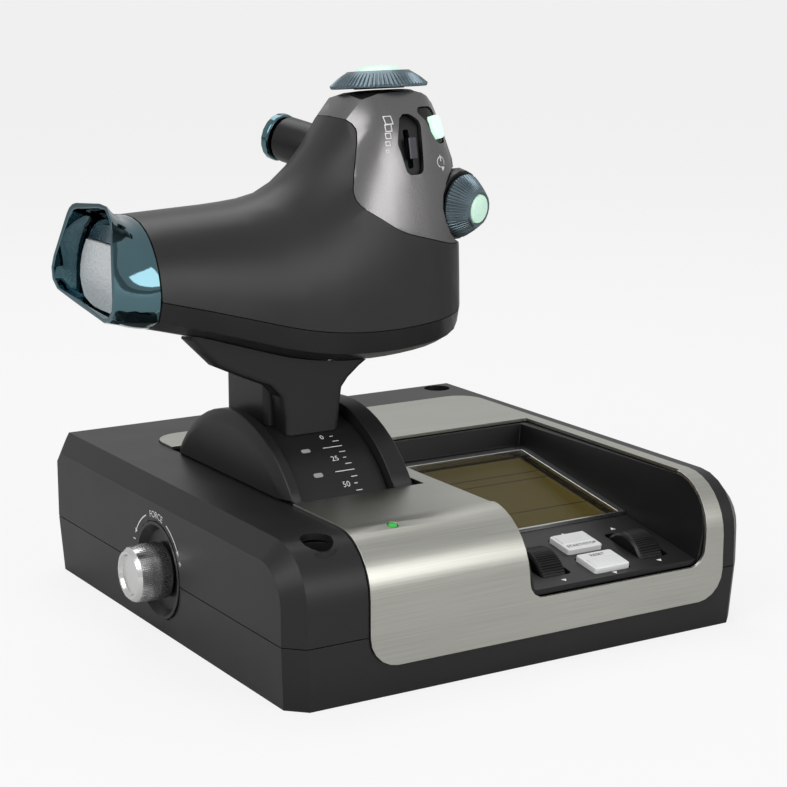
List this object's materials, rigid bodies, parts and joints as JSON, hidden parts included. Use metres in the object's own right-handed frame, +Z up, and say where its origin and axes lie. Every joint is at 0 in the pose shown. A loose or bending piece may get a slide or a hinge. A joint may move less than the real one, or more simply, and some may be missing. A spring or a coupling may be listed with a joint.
{
  "type": "hand throttle",
  "caption": "Desk-top flight throttle: square base with sunk display, keys and wheels, and a swinging lever with grip, dials, slider and hat.",
  "frame": {"origin": "centre of the flat underside of the base, in the plane of its rubber pads", "axes": "+X to the user's right along the front, +Y away from the user, +Z up"},
  "size_m": [0.2155, 0.1978, 0.2002],
  "materials": {
    "amber": "amber liquid crystal",
    "blue_gray": "ribbed metallic blue-grey",
    "board": "green solder mask",
    "bright_trim": "bright chrome trim",
    "brushed_steel": "brushed and clear-lacquered",
    "chrome": "blue-tinted bright chrome",
    "clear": "clear acrylic",
    "dark_rubber": "soft black rubber",
    "green_light": "green light pipe",
    "inner_plastic": "plain moulded",
    "lit_green": "translucent, lit white-green",
    "panel_gray": "satin metallic paint",
    "shell_black": "fine textured black plastic",
    "silver": "knurled, satin",
    "soft_black": "matt black plastic",
    "steel": "zinc-plated steel",
    "white_key": "white moulded"
  },
  "bodies": {
    "base": {"ballast_plate": "steel", "bearing_left": "inner_plastic", "bearing_right": "inner_plastic", "board_frame": "inner_plastic", "display_board": "board", "display_lens": "clear", "display_tray": "soft_black", "fascia": "brushed_steel", "foot_back_left": "dark_rubber", "foot_back_right": "dark_rubber", "foot_front_left": "dark_rubber", "foot_front_right": "dark_rubber", "knob_dish": "shell_black", "lcd_module": "amber", "lens_frame": "bright_trim", "lever_guard_left": "shell_black", "lever_guard_right": "shell_black", "lever_sensor": "board", "link_socket": "soft_black", "lower_shell": "shell_black", "main_board": "board", "status_led": "green_light", "tray_panel": "panel_gray", "upper_shell": "shell_black", "wheel_cradle_left": "inner_plastic", "wheel_cradle_right": "inner_plastic"},
    "lever": {"axle": "steel", "scale_drum": "soft_black", "lever_arm": "steel", "arm_pin": "steel", "stem_front": "shell_black", "stem_rear": "shell_black", "grip_upper_shell": "shell_black", "grip_lower_shell": "shell_black", "control_panel": "panel_gray", "end_cap": "chrome", "cap_plate": "chrome", "cap_reflector": "white_key", "top_collar": "soft_black", "side_collar": "soft_black", "fire_bezel": "soft_black", "slider_track": "soft_black", "grip_board": "board", "hat_stub": "shell_black"},
    "tension": {"tension_knob": "silver", "tension_screw": "steel"},
    "top_dial": {"top_dial": "blue_gray"},
    "top_dial_button": {"top_dial_button": "lit_green"},
    "side_dial": {"side_dial": "blue_gray"},
    "side_dial_button": {"side_dial_button": "lit_green"},
    "fire_button": {"fire_button": "lit_green"},
    "slider_knob": {"slider_knob": "soft_black"},
    "wheel_left": {"wheel_left": "soft_black"},
    "wheel_right": {"wheel_right": "soft_black"},
    "start_button": {"start_button": "white_key"},
    "reset_button": {"reset_button": "white_key"},
    "brake_shoe": {"brake_shoe": "dark_rubber"},
    "hat_gimbal": {"hat_gimbal": "steel"},
    "hat_cap": {"hat_cap": "chrome"}
  },
  "joints": [
    {"name": "throttle", "type": "hinge", "parent": "base", "child": "lever", "pos_m": [-0.0415, 0.001, 0.0235], "axis": [1, 0, 0], "range_deg": [-22, 28]},
    {"name": "top_dial_turn", "type": "hinge", "parent": "lever", "child": "top_dial", "pos_m": [-0.001, 0.0025, 0.1915], "axis": [0, 0.0867, 0.9962], "range_deg": [-140, 140]},
    {"name": "top_button_press", "type": "slide", "parent": "lever", "child": "top_dial_button", "axis": [0, 0.0867, 0.9962], "range_m": [-0.001, 0], "stiffness_N_per_m": 400},
    {"name": "side_dial_turn", "type": "hinge", "parent": "lever", "child": "side_dial", "pos_m": [0.0215, -0.0185, 0.1495], "axis": [0.3733, -0.9236, -0.0871], "range_deg": [-140, 140]},
    {"name": "side_button_press", "type": "slide", "parent": "lever", "child": "side_dial_button", "axis": [0.3733, -0.9236, -0.0871], "range_m": [-0.001, 0], "stiffness_N_per_m": 400},
    {"name": "fire_press", "type": "slide", "parent": "lever", "child": "fire_button", "axis": [0.5199, -0.7998, 0.2999], "range_m": [-0.001, 0], "stiffness_N_per_m": 400},
    {"name": "slider_move", "type": "slide", "parent": "lever", "child": "slider_knob", "axis": [-0.0092, 0.1802, 0.9836], "range_m": [-0.0026, 0.0026]},
    {"name": "wheel_left_turn", "type": "hinge", "parent": "base", "child": "wheel_left", "pos_m": [0.0157, -0.07781, 0.02232], "axis": [1, 0, 0], "continuous": true},
    {"name": "wheel_right_turn", "type": "hinge", "parent": "base", "child": "wheel_right", "pos_m": [0.0589, -0.07781, 0.02232], "axis": [1, 0, 0], "continuous": true},
    {"name": "start_press", "type": "slide", "parent": "base", "child": "start_button", "axis": [0, -0.1609, 0.987], "range_m": [-0.0012, 0], "stiffness_N_per_m": 500},
    {"name": "reset_press", "type": "slide", "parent": "base", "child": "reset_button", "axis": [0, -0.1609, 0.987], "range_m": [-0.0012, 0], "stiffness_N_per_m": 500},
    {"name": "tension_turn", "type": "hinge", "parent": "base", "child": "tension", "pos_m": [-0.0926, 0.001, 0.0235], "axis": [1, 0, 0], "range_deg": [-180, 180]},
    {"name": "brake_slide", "type": "slide", "parent": "base", "child": "brake_shoe", "axis": [1, 0, 0], "range_m": [-0.00051, 0.00051]},
    {"name": "hat_side", "type": "hinge", "parent": "lever", "child": "hat_gimbal", "pos_m": [-0.02036, 0.03343, 0.17086], "axis": [-0.9527, -0.304, 0], "range_deg": [-6, 6], "stiffness_Nm_per_rad": 0.08},
    {"name": "hat_up", "type": "hinge", "parent": "hat_gimbal", "child": "hat_cap", "pos_m": [-0.02036, 0.03343, 0.17086], "axis": [0.0516, -0.1617, 0.9855], "range_deg": [-6, 6], "stiffness_Nm_per_rad": 0.08}
  ],
  "couplings": [
    {"joint": "brake_slide", "follows": "tension_turn", "m_per_rad": 0.00015915}
  ]
}
